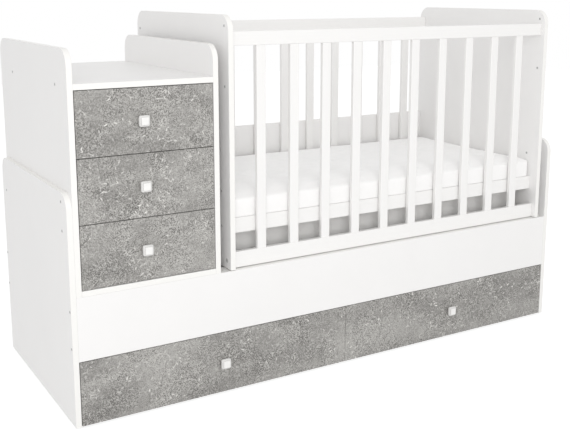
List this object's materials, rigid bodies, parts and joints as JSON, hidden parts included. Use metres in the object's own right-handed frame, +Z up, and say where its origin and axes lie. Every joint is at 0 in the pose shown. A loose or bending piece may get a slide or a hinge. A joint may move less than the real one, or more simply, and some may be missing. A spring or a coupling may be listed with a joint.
{
  "type": "convertible crib",
  "caption": "Convertible crib: barred rocking cot beside a drawer chest, both on a long bed base with wide drawers under it.",
  "frame": {"origin": "on the floor, under the middle of the overall box", "axes": "+Z up, +X along the length from the chest to the crib, front with the knobs towards -Y"},
  "size_m": [1.7606, 0.69, 1.102],
  "materials": {
    "white_laminate": "satin white melamine on chipboard",
    "concrete_laminate": "matt concrete print melamine on chipboard",
    "white_lacquer": "satin white lacquer on solid wood",
    "drawer_board": "white melamine board",
    "hardboard": "white painted hardboard",
    "knob_plastic": "moulded white plastic",
    "runner_metal": "white powder coat",
    "zinc_steel": "zinc plated",
    "cap_plastic": "moulded grey plastic",
    "glide_plastic": "moulded white plastic",
    "slat_birch": "sanded birch",
    "mattress_cloth": "white woven ticking"
  },
  "bodies": {
    "base": {"base_left_end": "white_laminate", "base_right_end": "white_laminate", "base_front_fascia": "white_laminate", "base_back_board": "white_laminate", "base_deck": "white_laminate", "base_centre_partition": "white_laminate", "chest_support": "white_laminate", "swing_rail_front": "white_laminate", "swing_rail_back": "white_laminate", "floor_glides": "glide_plastic", "base_runner_rails": "runner_metal", "base_screw_caps": "cap_plastic", "upper_swing_pins": "zinc_steel", "chest_left_side": "white_laminate", "chest_right_side": "white_laminate", "chest_top": "white_laminate", "chest_bottom": "white_laminate", "chest_back": "hardboard", "chest_runner_rails": "runner_metal", "chest_screw_caps": "cap_plastic"},
    "crib": {"crib_left_end": "white_laminate", "crib_right_end": "white_laminate", "front_top_rail": "white_lacquer", "front_bottom_rail": "white_lacquer", "front_bars": "white_lacquer", "back_top_rail": "white_lacquer", "back_bottom_rail": "white_lacquer", "back_bars": "white_lacquer", "crib_back_board": "white_laminate", "mattress_base_rails": "white_lacquer", "mattress_slats": "slat_birch", "mattress": "mattress_cloth", "swing_carrier_front": "white_laminate", "swing_carrier_back": "white_laminate", "lower_swing_pins": "zinc_steel", "crib_bolt_caps": "cap_plastic"},
    "link_front_left": {"link_front_left": "zinc_steel"},
    "link_front_right": {"link_front_right": "zinc_steel"},
    "link_back_left": {"link_back_left": "zinc_steel"},
    "link_back_right": {"link_back_right": "zinc_steel"},
    "chest_drawer_top": {"chest_drawer_top_front": "concrete_laminate", "chest_drawer_top_box": "drawer_board", "chest_drawer_top_runners": "runner_metal", "chest_drawer_top_knob": "knob_plastic"},
    "chest_drawer_middle": {"chest_drawer_middle_front": "concrete_laminate", "chest_drawer_middle_box": "drawer_board", "chest_drawer_middle_runners": "runner_metal", "chest_drawer_middle_knob": "knob_plastic"},
    "chest_drawer_bottom": {"chest_drawer_bottom_front": "concrete_laminate", "chest_drawer_bottom_box": "drawer_board", "chest_drawer_bottom_runners": "runner_metal", "chest_drawer_bottom_knob": "knob_plastic"},
    "base_drawer_left": {"base_drawer_left_front": "concrete_laminate", "base_drawer_left_box": "drawer_board", "base_drawer_left_runners": "runner_metal", "base_drawer_left_knob": "knob_plastic"},
    "base_drawer_right": {"base_drawer_right_front": "concrete_laminate", "base_drawer_right_box": "drawer_board", "base_drawer_right_runners": "runner_metal", "base_drawer_right_knob": "knob_plastic"}
  },
  "joints": [
    {"name": "crib_rock", "type": "hinge", "parent": "base", "child": "link_front_left", "pos_m": [-0.2985, -0.2805, 0.345], "axis": [0, -1, 0], "range_deg": [-13.5, 13.5]},
    {"name": "link_front_right_turn", "type": "hinge", "parent": "base", "child": "link_front_right", "pos_m": [0.7255, -0.2805, 0.345], "axis": [0, -1, 0], "range_deg": [-13.5, 13.5]},
    {"name": "link_back_left_turn", "type": "hinge", "parent": "base", "child": "link_back_left", "pos_m": [-0.2985, 0.3025, 0.345], "axis": [0, -1, 0], "range_deg": [-13.5, 13.5]},
    {"name": "link_back_right_turn", "type": "hinge", "parent": "base", "child": "link_back_right", "pos_m": [0.7255, 0.3025, 0.345], "axis": [0, -1, 0], "range_deg": [-13.5, 13.5]},
    {"name": "crib_level", "type": "hinge", "parent": "link_front_left", "child": "crib", "pos_m": [-0.2985, -0.2805, 0.235], "axis": [0, -1, 0], "range_deg": [-13.5, 13.5]},
    {"name": "chest_drawer_top_slide", "type": "slide", "parent": "base", "child": "chest_drawer_top", "axis": [0, -1, 0], "range_m": [0, 0.4]},
    {"name": "chest_drawer_middle_slide", "type": "slide", "parent": "base", "child": "chest_drawer_middle", "axis": [0, -1, 0], "range_m": [0, 0.4]},
    {"name": "chest_drawer_bottom_slide", "type": "slide", "parent": "base", "child": "chest_drawer_bottom", "axis": [0, -1, 0], "range_m": [0, 0.4]},
    {"name": "base_drawer_left_slide", "type": "slide", "parent": "base", "child": "base_drawer_left", "axis": [0, -1, 0], "range_m": [0, 0.4]},
    {"name": "base_drawer_right_slide", "type": "slide", "parent": "base", "child": "base_drawer_right", "axis": [0, -1, 0], "range_m": [0, 0.4]}
  ],
  "couplings": [
    {"joint": "crib_level", "follows": "crib_rock", "ratio": -1},
    {"joint": "link_front_right_turn", "follows": "crib_rock", "ratio": 1},
    {"joint": "link_back_left_turn", "follows": "crib_rock", "ratio": 1},
    {"joint": "link_back_right_turn", "follows": "crib_rock", "ratio": 1}
  ]
}
